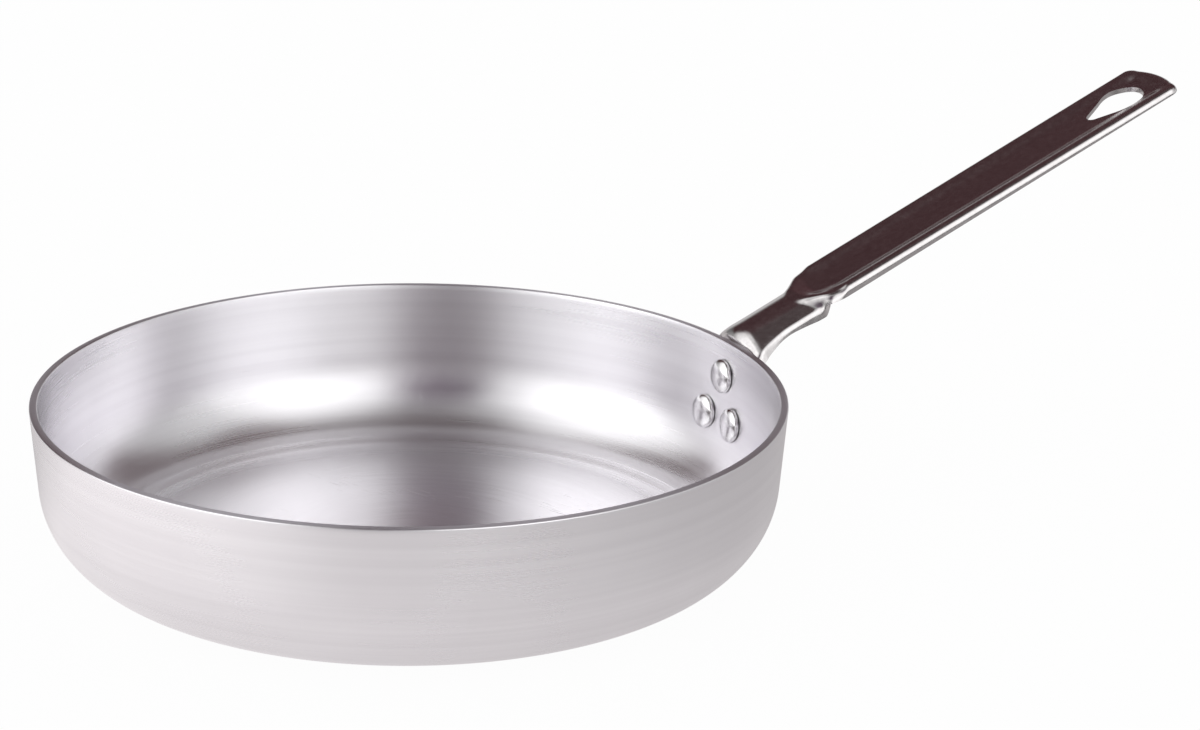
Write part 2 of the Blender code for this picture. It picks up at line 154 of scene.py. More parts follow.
class Nodes:
    """A material's node tree, with short ways to add and join its nodes."""

    def __init__(self, name):
        self.material = bpy.data.materials.new(name)
        self.material.use_nodes = True
        self.tree = self.material.node_tree
        self.shader = self.tree.nodes["Principled BSDF"]
        self.output = self.tree.nodes["Material Output"]

    def add(self, kind, **settings):
        node = self.tree.nodes.new(kind)
        for name, value in settings.items():
            setattr(node, name, value)
        return node

    def join(self, source, target):
        self.tree.links.new(source, target)

    def sum(self, operation, *terms):
        """One step of arithmetic on numbers or sockets."""
        node = self.add("ShaderNodeMath", operation=operation)
        for place, term in enumerate(terms):
            if isinstance(term, (int, float)):
                node.inputs[place].default_value = term
            else:
                self.join(term, node.inputs[place])
        return node.outputs[0]

    def vector(self, x, y, z):
        node = self.add("ShaderNodeCombineXYZ")
        for place, term in enumerate((x, y, z)):
            if isinstance(term, (int, float)):
                node.inputs[place].default_value = term
            else:
                self.join(term, node.inputs[place])
        return node.outputs[0]

    def noise(self, vector, scale, detail=3.0, roughness=0.5, extra=None):
        node = self.add("ShaderNodeTexNoise", noise_dimensions="3D" if extra is None else "4D")
        self.join(vector, node.inputs["Vector"])
        if extra is not None:
            self.join(extra, node.inputs["W"])
        node.inputs["Scale"].default_value = scale
        node.inputs["Detail"].default_value = detail
        node.inputs["Roughness"].default_value = roughness
        return node.outputs["Fac"]

    def spread(self, value, low, high, to_low, to_high):
        """value from low..high to to_low..to_high, held at the ends."""
        node = self.add("ShaderNodeMapRange")
        self.join(value, node.inputs["Value"])
        for name, number in (("From Min", low), ("From Max", high),
                             ("To Min", to_low), ("To Max", to_high)):
            node.inputs[name].default_value = number
        return node.outputs["Result"]

    def bump(self, height, strength, distance, normal=None):
        node = self.add("ShaderNodeBump")
        node.inputs["Strength"].default_value = strength
        node.inputs["Distance"].default_value = distance
        self.join(height, node.inputs["Height"])
        if normal is not None:
            self.join(normal, node.inputs["Normal"])
        return node.outputs["Normal"]


def spun_aluminium():
    """Bare aluminium with lathe lines, faint handling marks and fine scratches."""
    nodes = Nodes("spun_aluminium_satin")
    place = nodes.add("ShaderNodeTexCoord").outputs["Object"]
    axes = nodes.add("ShaderNodeSeparateXYZ")
    nodes.join(place, axes.inputs[0])
    x, y, z = axes.outputs
    radius = nodes.sum("SQRT", nodes.sum("ADD", nodes.sum("MULTIPLY", x, x),
                                         nodes.sum("MULTIPLY", y, y)))
    turn_x = nodes.sum("DIVIDE", x, radius)
    turn_y = nodes.sum("DIVIDE", y, radius)
    # the inner faces look up or towards the middle, the outer ones down or away from it
    facing = nodes.add("ShaderNodeSeparateXYZ")
    nodes.join(nodes.add("ShaderNodeTexCoord").outputs["Normal"], facing.inputs[0])
    outward = nodes.sum("ADD", nodes.sum("MULTIPLY", facing.outputs[0], turn_x),
                        nodes.sum("MULTIPLY", facing.outputs[1], turn_y))
    inside = nodes.spread(nodes.sum("SUBTRACT", facing.outputs[2], outward), -0.2, 0.2, 0.0, 1.0)

    def lathe_lines(pitch, length, detail):
        """Noise that changes over pitch across the lines and over length along them."""
        across = nodes.vector(nodes.sum("DIVIDE", radius, pitch), nodes.sum("DIVIDE", z, pitch),
                              nodes.sum("MULTIPLY", turn_x, RIM_RADIUS / length))
        return nodes.noise(across, 1.0, detail=detail,
                           extra=nodes.sum("MULTIPLY", turn_y, RIM_RADIUS / length))

    fine = lathe_lines(0.0006, 0.140, 2.0)
    broad = lathe_lines(0.0035, 0.450, 3.0)
    clouds = nodes.noise(place, 28.0, detail=2.0)
    patches = nodes.noise(place, 9.0, detail=2.0)
    # colour: a cool grey-white that varies with the broader lines and in soft clouds
    shade = nodes.sum("ADD", nodes.sum("MULTIPLY", broad, 0.7), nodes.sum("MULTIPLY", clouds, 0.3))
    ramp = nodes.add("ShaderNodeValToRGB")
    nodes.join(shade, ramp.inputs["Fac"])
    ramp.color_ramp.elements[0].position = 0.34
    ramp.color_ramp.elements[0].color = (0.86, 0.845, 0.870, 1.0)
    ramp.color_ramp.elements[1].position = 0.66
    ramp.color_ramp.elements[1].color = (0.93, 0.918, 0.942, 1.0)
    # the rim is cut across the sheet: duller and a little bluer than the faces
    rim = nodes.sum("MULTIPLY", nodes.spread(z, PAN_HEIGHT - 0.0020, PAN_HEIGHT - 0.0010, 0.0, 1.0),
                    nodes.spread(facing.outputs[2], 0.80, 0.95, 0.0, 1.0))
    deeper = nodes.add("ShaderNodeMix", data_type="RGBA")
    nodes.join(rim, deeper.inputs["Factor"])
    nodes.join(ramp.outputs["Color"], deeper.inputs["A"])
    deeper.inputs["B"].default_value = (0.88, 0.88, 0.94, 1.0)
    nodes.join(deeper.outputs["Result"], nodes.shader.inputs["Base Color"])
    nodes.shader.inputs["Metallic"].default_value = 1.0
    nodes.shader.inputs["Anisotropic"].default_value = 0.80
    nodes.shader.inputs["Anisotropic Rotation"].default_value = 0.25
    around = nodes.add("ShaderNodeTangent", direction_type="RADIAL", axis="Z")
    nodes.join(around.outputs[0], nodes.shader.inputs["Tangent"])
    # the lines are fainter on the outside, which was smoothed last
    depth = nodes.spread(inside, 0.0, 1.0, 0.40, 1.0)
    fine = nodes.sum("MULTIPLY", nodes.sum("SUBTRACT", fine, 0.5), depth)
    broad = nodes.sum("MULTIPLY", nodes.sum("SUBTRACT", broad, 0.5), depth)
    # gloss: matter in the lines and where hands and cloths have rubbed
    rough = nodes.sum("ADD", nodes.spread(fine, -0.2, 0.2, 0.255, 0.30),
                      nodes.spread(patches, 0.3, 0.7, -0.03, 0.05))
    rough = nodes.sum("ADD", rough, nodes.spread(broad, -0.15, 0.15, -0.008, 0.012))
    rough = nodes.sum("ADD", rough, nodes.sum("MULTIPLY", rim, 0.18))
    # the flat of the base keeps more of its shine than the wall
    flat = nodes.sum("MULTIPLY", nodes.spread(radius, 0.098, 0.106, 1.0, 0.0), inside)
    rough = nodes.sum("SUBTRACT", rough, nodes.sum("MULTIPLY", flat, 0.045))
    # the ring in the corner inside is rubbed dull
    ring = nodes.sum("MULTIPLY", nodes.spread(radius, 0.1145, 0.1160, 0.0, 1.0),
                     nodes.spread(radius, 0.1180, 0.1200, 1.0, 0.0))
    ring = nodes.sum("MULTIPLY", ring, inside)
    rough = nodes.sum("ADD", rough, nodes.sum("MULTIPLY", ring, 0.12))
    # short scratches from spoons, in a few places
    beside = nodes.sum("ADD", x, nodes.sum("MULTIPLY", y, 0.4))
    along = nodes.sum("SUBTRACT", y, nodes.sum("MULTIPLY", x, 0.4))
    slanted = nodes.vector(nodes.sum("MULTIPLY", beside, 2600.0),
                           nodes.sum("MULTIPLY", along, 110.0),
                           nodes.sum("MULTIPLY", z, 160.0))
    where = nodes.spread(nodes.noise(place, 22.0, detail=1.0), 0.53, 0.63, 0.0, 1.0)
    scratches = nodes.spread(nodes.noise(slanted, 1.0, detail=0.0), 0.72, 0.79, 0.0, 1.0)
    scratches = nodes.sum("MULTIPLY", nodes.sum("MULTIPLY", scratches, where), inside)
    rough = nodes.sum("ADD", rough, nodes.sum("MULTIPLY", scratches, 0.15))
    nodes.join(rough, nodes.shader.inputs["Roughness"])
    relief = nodes.bump(fine, 0.035, 0.00006)
    relief = nodes.bump(broad, 0.018, 0.0004, relief)
    relief = nodes.bump(scratches, 0.12, 0.00008, relief)
    nodes.join(relief, nodes.shader.inputs["Normal"])
    return nodes.material


pan = spun_pan()
pan.data.materials.append(spun_aluminium())
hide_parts("pan_body")
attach(pan, "root")


# The handle.  One strip of stainless steel, blanked, pressed and polished: a plate
# that lies against the wall, a turn outward just over the rim, an arched neck with
# its sides rolled down, and a tray-shaped grip with rolled edges and a hanging hole.

CLEARANCE = 0.0003
STEEL = 0.0018
BEND_RADIUS = 0.0062
HANDLE_RISE = math.radians(22.2)
GRIP_START = 0.0277
HANDLE_REACH = 0.1970
PLATE_HALF = 0.0122
PLATE_WING = 0.0073
PLATE_LENGTH = 0.0345
PLATE_CORNER = 0.0060
NECK_ROOT_HALF = 0.0138
NECK_HALF = 0.0116
FLARE_LENGTH = 0.0200
NECK_SIDE = 0.0050
NECK_WAIST = 0.0016
NECK_ARCH_WALL = 0.0175
NECK_ARCH_GRIP = 0.0185
NECK_EDGE = 0.0028
NECK_FLARE = math.radians(82)
GRIP_HALF_NEAR = 0.0128
GRIP_HALF_TIP = 0.0140
GRIP_NOSE = 0.0130
NOSE_POWER = 2.2
NOSE_BLEND = 0.0010
GRIP_EDGE = 0.0025
LIP_NEAR = 0.0056
LIP_TIP = 0.0042
LIP_FLARE = math.radians(88)
DISH_DEPTH = 0.0016
DISH_FLANK = 0.0075
RISER = 0.0040
TIP_CORNER = 0.0035
TIP_BOW = 0.0015
HOLE_INSET = 0.0155
HOLE_RADIUS = 0.0090
HOLE_POINT_RADIUS = 0.0030
HOLE_SPACING = 0.0130
HOLE_DEPTH = 0.0400
WING_FLAT = -0.0235
WING_FOLDED = -0.0055
ARCH_START = -0.0084
FAN_START = -0.0160
FAN_END = 0.0180
BEND_LENGTH = BEND_RADIUS * (math.pi / 2 - WALL_LEAN - HANDLE_RISE)
BEND_REACH = BEND_RADIUS * (COS_LEAN - math.sin(HANDLE_RISE))
GRIP_RUN = BEND_LENGTH + GRIP_START - BEND_REACH
TIP_RUN = BEND_LENGTH + HANDLE_REACH - BEND_REACH
TOP_COLUMNS = 32
CORNER_ROWS = 8
ROLL_ROWS = 9
SIDE_ROWS = 3
EASING_STEPS = 30
SOFTENING_STEPS = 40
NOTCH_REACH = 0.009
NOSE_LEAD = 0.0050
ROLL_SHARE = 0.8
SLOPE_REACH = 0.0006
ROUND_HOLE_STEPS = 56
HOLE_POINT_STEPS = 16
HANDLE_SHARP_FROM = 40
HOLE_SHARP_FROM = 30


def smooth(t):
    t = min(max(t, 0.0), 1.0)
    return t * t * (3 - 2 * t)


def between(a, b, t):
    t = min(max(t, 0.0), 1.0)
    return a + (b - a) * t


def strip_path(run):
    """The middle of the top face: up the wall, over the rim and out to the tip."""
    if run <= 0:
        return wall_point(-run, 0.0, CLEARANCE)
    turned = min(run, BEND_LENGTH) / BEND_RADIUS
    slope = math.pi / 2 - WALL_LEAN
    out = BEND_RADIUS * (math.sin(slope) - math.sin(slope - turned))
    rise = BEND_RADIUS * (math.cos(slope - turned) - math.cos(slope))
    along = max(run - BEND_LENGTH, 0.0)
    rise += along * math.tan(HANDLE_RISE)
    return wall_point(0.0, 0.0, CLEARANCE) + Vector((out + along, 0.0, rise))


def under_side(run):
    """Direction from the top face towards the open side of the channel."""
    turned = smooth((run - FAN_START) / (FAN_END - FAN_START))
    down = between(WALL_LEAN, math.pi / 2 - HANDLE_RISE, turned)
    return Vector((math.cos(down), 0.0, -math.sin(down)))


def grip_half(run):
    return between(GRIP_HALF_NEAR, GRIP_HALF_TIP, (run - GRIP_RUN) / (TIP_RUN - GRIP_RUN))


def half_width(run):
    """Half the width between the crests."""
    if run < 0:
        return between(PLATE_HALF, NECK_ROOT_HALF, smooth(1 - run / FAN_START))
    if run < GRIP_RUN:
        return between(NECK_ROOT_HALF, NECK_HALF, smooth(run / FLARE_LENGTH))
    short = max(1 - (run - GRIP_RUN) / GRIP_NOSE, 0.0)
    grip = grip_half(run) * (1 - short ** NOSE_POWER) ** (1 / NOSE_POWER)
    blend = NOSE_BLEND * smooth((run - GRIP_RUN) / GRIP_NOSE)
    return (NECK_HALF + grip + math.hypot(NECK_HALF - grip, blend)) / 2


def past_nose(run, across):
    """Distance along the strip past the crest of the grip's rounded near end."""
    share = min(abs(across) / grip_half(run), 1.0)
    return run - GRIP_RUN - GRIP_NOSE * (1 - (1 - share ** NOSE_POWER) ** (1 / NOSE_POWER))


def arch(run):
    """Curvature across the top; on the plate it is the wall's own."""
    over_rim = smooth((run - ARCH_START) / (BEND_LENGTH - ARCH_START))
    neck = between(1 / NECK_ARCH_WALL, 1 / NECK_ARCH_GRIP, run / GRIP_RUN)
    return between(-1 / RIM_RADIUS, neck, over_rim)


def grip_share(level):
    """0 on the neck, 1 on the grip, with the pressed step between them."""
    return smooth((level - GRIP_RUN) / RISER + 1)


def top_drop(run, across, level):
    """How far the top face lies below the strip's middle line."""
    neck = arch(run) * across * across / 2
    dish = DISH_DEPTH
    for inset in (half_width(run) - abs(across), level - GRIP_RUN, TIP_RUN - run):
        dish *= smooth(inset / DISH_FLANK)
    return between(neck, dish, grip_share(level))


def sheet_point(run, across, drop):
    down = under_side(run)
    free = strip_path(run) + Vector((0.0, across, 0.0)) + down * drop
    if run >= 0:
        return free
    fan = math.asin(-down.z) - WALL_LEAN
    out = drop + min(abs(across), half_width(run)) ** 2 / RIM_RADIUS / 2
    on_wall = wall_point(-run + out * math.sin(fan), across, CLEARANCE + out * math.cos(fan))
    return on_wall.lerp(free, smooth(1 - run / FAN_START))


def side_length(run):
    """Length of the rolled side, measured round it."""
    if run < 0:
        return between(PLATE_WING, NECK_SIDE, smooth(1 - run / WING_FLAT))
    if run < GRIP_RUN:
        return NECK_SIDE - NECK_WAIST * math.sin(math.pi * run / GRIP_RUN)
    lip = between(LIP_NEAR, LIP_TIP, (run - GRIP_RUN) / (TIP_RUN - GRIP_RUN))
    return between(NECK_SIDE, lip, smooth((run - GRIP_RUN) / GRIP_NOSE))


def edge_radius(run):
    return between(NECK_EDGE, GRIP_EDGE, smooth((run - GRIP_RUN) / GRIP_NOSE))


def rolled(run, across, level, length):
    """Out and down from the top's edge, at a length round the rolled side."""
    on_grip = grip_share(level)
    folded = smooth((run - WING_FLAT) / (WING_FOLDED - WING_FLAT))
    start = between(math.atan(arch(run) * abs(across)), 0.0, on_grip) * folded
    end = between(NECK_FLARE, LIP_FLARE, on_grip) * folded
    radius = edge_radius(run)
    turned = min(length / radius, end - start)
    out = radius * (math.sin(start + turned) - math.sin(start))
    down = radius * (math.cos(start) - math.cos(start + turned))
    straight = max(length - radius * (end - start), 0.0)
    return out + straight * math.cos(end), down + straight * math.sin(end)


def side_lengths(run):
    total = side_length(run)
    roll = min(edge_radius(run) * math.pi / 2, total * ROLL_SHARE)
    rows = [roll * row / ROLL_ROWS for row in range(1, ROLL_ROWS + 1)]
    return rows + [between(roll, total, row / SIDE_ROWS) for row in range(1, SIDE_ROWS + 1)]


def even_steps(start, end, step):
    count = max(round((end - start) / step), 1)
    return [start + (end - start) * item / count for item in range(count)]


def corner_rows(end, inward, half, radius, bow):
    """Rows of the top through a pair of rounded corners, side to end."""
    rows = []
    for step in range(CORNER_ROWS + 1):
        turn = math.pi / 2 * step / CORNER_ROWS
        run = end + inward * (radius - (radius - bow) * math.sin(turn))
        width = half - radius * (1 - math.cos(turn))
        bowed = inward * bow if step == CORNER_ROWS else 0.0
        row = []
        for column in range(TOP_COLUMNS + 1):
            share = 2 * column / TOP_COLUMNS - 1
            row.append((run - bowed * (1 - share * share), width * share, run))
        rows.append((row, -inward * math.sin(turn), math.cos(turn)))
    return rows


def way_out(run):
    """Square to the top's edge: along the strip, and aside."""
    wider = half_width(run + SLOPE_REACH) - half_width(run - SLOPE_REACH)
    widening = wider / (2 * SLOPE_REACH)
    length = math.hypot(widening, 1.0)
    return -widening / length, 1 / length


def row_places():
    """Where each row crosses the middle and the edge; round the grip's near end they bend."""
    lag = -past_nose(GRIP_RUN, NECK_HALF)
    stages = [(PLATE_CORNER - PLATE_LENGTH, 0.0, 0.0010), (WING_FLAT, 0.0, 0.0006),
              (0.0, 0.0, 0.0004), (BEND_LENGTH, 0.0, 0.0008),
              (GRIP_RUN - RISER - NOSE_LEAD, 0.0, 0.0005), (GRIP_RUN - RISER, lag, 0.0004),
              (GRIP_RUN, lag, 0.0004), (GRIP_RUN + GRIP_NOSE + NOSE_LEAD, 0.0, 0.0022),
              (TIP_RUN - DISH_FLANK, 0.0, 0.0005), (TIP_RUN - TIP_CORNER, 0.0, 0.0005)]
    places = []
    for (start, lag_start, step), (end, lag_end, _) in zip(stages, stages[1:]):
        for middle in even_steps(start, end, step):
            share = (middle - start) / (end - start)
            places.append((middle, middle + between(lag_start, lag_end, share)))
    return places


def top_rows():
    plate_end = corner_rows(-PLATE_LENGTH, 1, PLATE_HALF, PLATE_CORNER, 0.0)
    tip = corner_rows(TIP_RUN, -1, half_width(TIP_RUN), TIP_CORNER, TIP_BOW)
    lag = past_nose(GRIP_RUN, NECK_HALF)
    body = []
    for middle, edge in row_places()[1:]:
        half = half_width(edge)
        row = []
        for column in range(TOP_COLUMNS + 1):
            share = 2 * column / TOP_COLUMNS - 1
            behind = past_nose(GRIP_RUN, share * NECK_HALF) / lag
            row.append((between(middle, edge, behind), half * share, middle))
        body.append((row, *way_out(edge)))
    return plate_end[::-1] + body + tip


def top_outline(rows):
    """Each point round the top face's edge with its way out, in order."""
    row = rows[0][0]
    outline = [(*place, -1.0, 0.0) for place in row]
    outline += [(*row[-1], along, aside) for row, along, aside in rows[1:]]
    row = rows[-1][0]
    outline += [(*place, 1.0, 0.0) for place in row[-2::-1]]
    outline += [(*row[0], along, -aside) for row, along, aside in rows[-2:0:-1]]
    return outline


def soften_notches(mesh):
    """Rounds the two notches where the neck's sides run into the grip's near end."""
    run = GRIP_RUN - past_nose(GRIP_RUN, NECK_HALF)
    notches = [sheet_point(run, across, 0.0) for across in (-NECK_HALF, NECK_HALF)]
    for step in range(SOFTENING_STEPS):
        moved = []
        for corner in mesh.verts:
            share = 1 - min((corner.co - notch).length for notch in notches) / NOTCH_REACH
            if share > 0 and not corner.is_boundary:
                beside = [edge.other_vert(corner).co for edge in corner.link_edges]
                middle = sum(beside, Vector()) / len(beside)
                moved.append((corner, corner.co.lerp(middle, smooth(share * 2))))
        for corner, spot in moved:
            corner.co = spot


def give_thickness(mesh):
    """Adds the inner face, set in by the thickness and eased where it would fold over itself."""
    bmesh.ops.recalc_face_normals(mesh, faces=mesh.faces)
    mesh.normal_update()
    mesh.verts.index_update()
    outer = list(mesh.verts)
    faces = [[corner.index for corner in face.verts] for face in mesh.faces]
    rims = [[corner.index for corner in edge.verts] for edge in mesh.edges if edge.is_boundary]
    beside = [[edge.other_vert(corner).index for edge in corner.link_edges] for corner in outer]
    upward = 1 if max(outer, key=lambda corner: corner.co.z).normal.z > 0 else -1
    ways = [corner.normal * upward for corner in outer]
    for step in range(EASING_STEPS):
        ways = [sum((ways[other] for other in others), ways[item]).normalized()
                for item, others in enumerate(beside)]
    inner = [mesh.verts.new(corner.co - way * STEEL) for corner, way in zip(outer, ways)]
    for face in faces:
        mesh.faces.new([inner[item] for item in reversed(face)])
    for first, second in rims:
        mesh.faces.new((outer[first], outer[second], inner[second], inner[first]))


def pressed_sheet():
    """The pressed strip with its sides rolled down, still without its hole."""
    mesh = bmesh.new()
    rows = top_rows()
    grid = [[mesh.verts.new(sheet_point(run, across, top_drop(run, across, level)))
             for run, across, level in row] for row, along, aside in rows]
    for near, far in zip(grid, grid[1:]):
        for column in range(TOP_COLUMNS):
            mesh.faces.new((near[column], near[column + 1], far[column + 1], far[column]))
    inner = grid[0] + [row[-1] for row in grid[1:]]
    inner += grid[-1][-2::-1] + [row[0] for row in grid[-2:0:-1]]
    places = top_outline(rows)
    for step in range(ROLL_ROWS + SIDE_ROWS):
        outer = []
        for run, across, level, along, aside in places:
            out, down = rolled(run, across, level, side_lengths(run)[step])
            place = sheet_point(run + along * out, across + aside * out,
                                top_drop(run, across, level) + down)
            outer.append(mesh.verts.new(place))
        for item in range(len(outer)):
            after = (item + 1) % len(outer)
            mesh.faces.new((inner[item], outer[item], outer[after], inner[after]))
        inner = outer
    soften_notches(mesh)
    give_thickness(mesh)
    return smooth_piece("pressed_handle", mesh, HANDLE_SHARP_FROM)


def hole_punch():
    """A teardrop prism: the punch that cuts the hanging hole."""
    wide = RIM_RADIUS + HANDLE_REACH - HOLE_INSET
    narrow = wide - HOLE_SPACING
    lean = math.acos((HOLE_RADIUS - HOLE_POINT_RADIUS) / HOLE_SPACING)
    outline = []
    for step in range(ROUND_HOLE_STEPS + 1):
        turn = between(lean - math.pi, math.pi - lean, step / ROUND_HOLE_STEPS)
        outline.append((wide + HOLE_RADIUS * math.cos(turn), HOLE_RADIUS * math.sin(turn)))
    for step in range(HOLE_POINT_STEPS + 1):
        turn = between(math.pi - lean, math.pi + lean, step / HOLE_POINT_STEPS)
        outline.append((narrow + HOLE_POINT_RADIUS * math.cos(turn),
                        HOLE_POINT_RADIUS * math.sin(turn)))
    mesh = bmesh.new()
    bottom = strip_path(TIP_RUN - HOLE_INSET).z - HOLE_DEPTH / 2
    floor = mesh.faces.new([mesh.verts.new((x, y, bottom)) for x, y in outline])
    grown = bmesh.ops.extrude_face_region(mesh, geom=[floor])
    top = [item for item in grown["geom"] if isinstance(item, bmesh.types.BMVert)]
    bmesh.ops.translate(mesh, verts=top, vec=(0, 0, HOLE_DEPTH))
    return smooth_piece("hole_punch", mesh, HOLE_SHARP_FROM)


def pressed_handle():
    """The strip with its hanging hole cut right through."""
    piece = pressed_sheet()
    punch = hole_punch()
    hole = piece.modifiers.new("hole", "BOOLEAN")
    hole.operation = "DIFFERENCE"
    hole.solver = "EXACT"
    hole.object = punch
    ready = piece.evaluated_get(bpy.context.evaluated_depsgraph_get())
    data = bpy.data.meshes.new_from_object(ready)
    piece.modifiers.clear()
    piece.data = data
    data.shade_smooth()
    data.set_sharp_from_angle(angle=math.radians(HANDLE_SHARP_FROM))
    bpy.data.objects.remove(punch, do_unlink=True)
    return piece


def polished_steel():
    """Mirror-polished stainless with the faint draw of the buff along the strip."""
    nodes = Nodes("polished_stainless")
    place = nodes.add("ShaderNodeTexCoord").outputs["Object"]
    axes = nodes.add("ShaderNodeSeparateXYZ")
    nodes.join(place, axes.inputs[0])
    x, y, z = axes.outputs
    lengthwise = nodes.vector(nodes.sum("MULTIPLY", x, 40.0), nodes.sum("MULTIPLY", y, 1400.0),
                              nodes.sum("MULTIPLY", z, 200.0))
    drawn = nodes.noise(lengthwise, 1.0, detail=3.0)
    specks = nodes.noise(place, 420.0, detail=4.0, roughness=0.65)
    waves = nodes.noise(place, 60.0, detail=2.0)
    ramp = nodes.add("ShaderNodeValToRGB")
    nodes.join(specks, ramp.inputs["Fac"])
    ramp.color_ramp.elements[0].position = 0.30
    ramp.color_ramp.elements[0].color = (0.60, 0.575, 0.575, 1.0)
    ramp.color_ramp.elements[1].position = 0.70
    ramp.color_ramp.elements[1].color = (0.72, 0.70, 0.70, 1.0)
    nodes.join(ramp.outputs["Color"], nodes.shader.inputs["Base Color"])
    nodes.shader.inputs["Metallic"].default_value = 1.0
    rough = nodes.sum("ADD", nodes.spread(drawn, 0.3, 0.7, 0.145, 0.185),
                      nodes.spread(specks, 0.35, 0.7, 0.0, 0.05))
    nodes.join(rough, nodes.shader.inputs["Roughness"])
    relief = nodes.bump(drawn, 0.006, 0.00005)
    relief = nodes.bump(waves, 0.05, 0.0003, relief)
    nodes.join(relief, nodes.shader.inputs["Normal"])
    return nodes.material


handle = pressed_handle()
handle.data.materials.clear()
handle.data.materials.append(polished_steel())
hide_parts("handle")
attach(handle, "root")


# The rivets.  Three solid aluminium rivets go through the wall and the plate, one
# above two.  The round heads inside the pan are bright and smooth from the set that
# formed them, and lower heads close them on the plate outside.

HEAD_RADIUS = 0.0066
HEAD_HEIGHT = 0.0030
HEAD_EDGE = 0.0006
TAIL_RADIUS = 0.0056
TAIL_HEIGHT = 0.0026
SHANK_RADIUS = 0.0030
TOP_RIVET_DROP = 0.0141
LOW_RIVET_DROP = 0.0310
LOW_RIVET_SPACING = 0.0205
RIVET_STEPS = 64
DOME_STEPS = 12
SEATING_ROUNDS = 4
RIVET_SHARP_FROM = 60


def seated(centre, axis, aside, level):
    """The point over aside, along the axis, at a level from the wall's outer face."""
    point = centre + aside + axis * level
    for seating in range(SEATING_ROUNDS):
        point += axis * (level - wall_distance(point))
    return point


def rivet_section():
    """Radius, level and height off that level, from the inner dome to the outer one."""
    inner = -SHEET - CLEARANCE
    outer = 2 * CLEARANCE + STEEL
    rings = []
    for step in range(1, DOME_STEPS + 1):
        turn = math.pi / 2 * step / DOME_STEPS
        rise = (HEAD_HEIGHT - HEAD_EDGE) * math.cos(turn)
        rings.append((HEAD_RADIUS * math.sin(turn), inner, -HEAD_EDGE - rise))
    rings += [(HEAD_RADIUS, inner, 0.0), (SHANK_RADIUS, inner, 0.0)]
    rings += [(SHANK_RADIUS, outer, 0.0), (TAIL_RADIUS, outer, 0.0)]
    for step in range(DOME_STEPS, 0, -1):
        turn = math.pi / 2 * step / DOME_STEPS
        rise = (TAIL_HEIGHT - HEAD_EDGE) * math.cos(turn)
        rings.append((TAIL_RADIUS * math.sin(turn), outer, HEAD_EDGE + rise))
    return rings


def set_rivet(name, drop, across):
    """One rivet through the wall and the plate, with both of its heads formed."""
    centre = wall_point(drop, across, 0.0)
    axis = (wall_point(drop, across, SHEET) - centre).normalized()
    first = axis.orthogonal().normalized()
    second = axis.cross(first)
    mesh = bmesh.new()
    rings = []
    for radius, level, height in rivet_section():
        ring = []
        for step in range(RIVET_STEPS):
            turn = math.tau * step / RIVET_STEPS
            aside = (first * math.cos(turn) + second * math.sin(turn)) * radius
            ring.append(mesh.verts.new(seated(centre, axis, aside, level) + axis * height))
        rings.append(ring)
    for near, far in zip(rings, rings[1:]):
        for step in range(RIVET_STEPS):
            after = (step + 1) % RIVET_STEPS
            mesh.faces.new((near[step], near[after], far[after], far[step]))
    for ring, level, height in ((rings[0], -SHEET - CLEARANCE, -HEAD_HEIGHT),
                                (rings[-1], 2 * CLEARANCE + STEEL, TAIL_HEIGHT)):
        tip = mesh.verts.new(seated(centre, axis, Vector(), level) + axis * height)
        for step in range(RIVET_STEPS):
            mesh.faces.new((ring[step], ring[(step + 1) % RIVET_STEPS], tip))
    return smooth_piece(name, mesh, RIVET_SHARP_FROM)


def rivet_aluminium():
    """Bright aluminium, smooth from the rivet set, with small dents and rubbed spots."""
    nodes = Nodes("bright_rivet_aluminium")
    place = nodes.add("ShaderNodeTexCoord").outputs["Object"]
    dents = nodes.noise(place, 260.0, detail=2.0)
    rubbed = nodes.noise(place, 900.0, detail=3.0, roughness=0.6)
    ramp = nodes.add("ShaderNodeValToRGB")
    nodes.join(rubbed, ramp.inputs["Fac"])
    ramp.color_ramp.elements[0].position = 0.30
    ramp.color_ramp.elements[0].color = (0.78, 0.77, 0.78, 1.0)
    ramp.color_ramp.elements[1].position = 0.70
    ramp.color_ramp.elements[1].color = (0.88, 0.87, 0.88, 1.0)
    nodes.join(ramp.outputs["Color"], nodes.shader.inputs["Base Color"])
    nodes.shader.inputs["Metallic"].default_value = 1.0
    nodes.join(nodes.spread(rubbed, 0.3, 0.7, 0.12, 0.22), nodes.shader.inputs["Roughness"])
    nodes.join(nodes.bump(dents, 0.15, 0.0003), nodes.shader.inputs["Normal"])
    return nodes.material


rivet_finish = rivet_aluminium()
for node, name, drop, across in (
        ("rivet_top", "set_rivet_top", TOP_RIVET_DROP, 0.0),
        ("rivet_low_left", "set_rivet_low_left", LOW_RIVET_DROP, LOW_RIVET_SPACING / 2),
        ("rivet_low_right", "set_rivet_low_right", LOW_RIVET_DROP, -LOW_RIVET_SPACING / 2)):
    rivet = set_rivet(name, drop, across)
    rivet.data.materials.append(rivet_finish)
    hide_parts(node)
    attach(rivet, "root")


# The studio.  A white table in a white sweep, wide soft lights to the left and to the
# right of the camera with a dark gap between them, and a dark room behind and above.

# the handle points this far round to the right of straight away from the camera
HANDLE_TURN = math.radians(63.3)
STUDIO_TURN = HANDLE_TURN - math.pi / 2
FLOOR_HALF = 6.0
FLOOR_GAP = 0.0002
FLOOR_SQUARES = 8
FLOOR_SHARP_FROM = 30
FLOOR_GLOW = 0.96


def toward(azimuth, elevation):
    """Direction from the pan, the azimuth from the camera's side, positive to the right."""
    turn = math.radians(azimuth) + STUDIO_TURN
    lift = math.radians(elevation)
    return Vector((math.sin(turn) * math.cos(lift), -math.cos(turn) * math.cos(lift),
                   math.sin(lift)))


